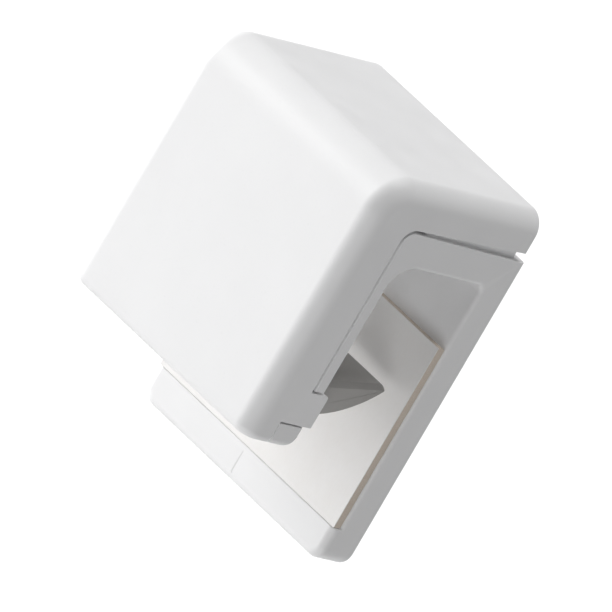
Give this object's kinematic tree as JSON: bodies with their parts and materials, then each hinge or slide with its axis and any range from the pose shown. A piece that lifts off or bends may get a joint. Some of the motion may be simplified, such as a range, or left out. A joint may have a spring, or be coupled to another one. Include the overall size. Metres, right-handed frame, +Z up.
{
  "type": "stair gate latch",
  "caption": "White hook-over gate latch with an adhesive-backed plate, a rocking front cover and a grey sprung pawl across the gap.",
  "frame": {"origin": "centre of the adhesive pad's exposed face", "axes": "+X across the width, +Y from the head towards the plate, +Z up; the pad's exposed face looks along -Y"},
  "size_m": [0.05, 0.0378, 0.067],
  "materials": {
    "white_housing": "fine satin moulded ABS",
    "grey_pawl": "matte moulded glass-filled nylon",
    "foam": "closed-cell foam, cut edge",
    "release_paper": "glazed silicone release paper",
    "steel": "zinc-plated or stainless steel",
    "acetal": "natural acetal, turned",
    "black_rubber": "soft elastomer"
  },
  "bodies": {
    "frame": {"hook_frame": "white_housing", "foam_pad": "foam", "release_liner": "release_paper", "pawl_pin": "steel", "pawl_spring_left": "steel", "pawl_spring_right": "steel", "cover_pivot_pins": "steel", "cover_spring_left": "steel", "cover_spring_right": "steel"},
    "cover": {"front_cover": "white_housing", "cover_bush_left": "acetal", "cover_bush_right": "acetal", "cover_screws": "steel", "cover_screw_washers": "steel", "sear_bar": "steel", "sear_screws": "steel", "stop_bumper": "black_rubber"},
    "pawl": {"pawl": "grey_pawl", "pawl_bush_left": "acetal", "pawl_bush_right": "acetal"}
  },
  "joints": [
    {"name": "cover_press", "type": "hinge", "parent": "frame", "child": "cover", "pos_m": [0, -0.0215, 0.0383], "axis": [-1, 0, 0], "range_deg": [0, 2.6], "stiffness_Nm_per_rad": 0.35, "springref_deg": -5.73, "deforming": ["cover_spring_left", "cover_spring_right"]},
    {"name": "pawl_swing", "type": "hinge", "parent": "frame", "child": "pawl", "pos_m": [0, -0.0202, 0.002], "axis": [1, 0, 0], "range_deg": [0, 82], "stiffness_Nm_per_rad": 0.006, "springref_deg": -34.38, "deforming": ["pawl_spring_left", "pawl_spring_right"]}
  ]
}
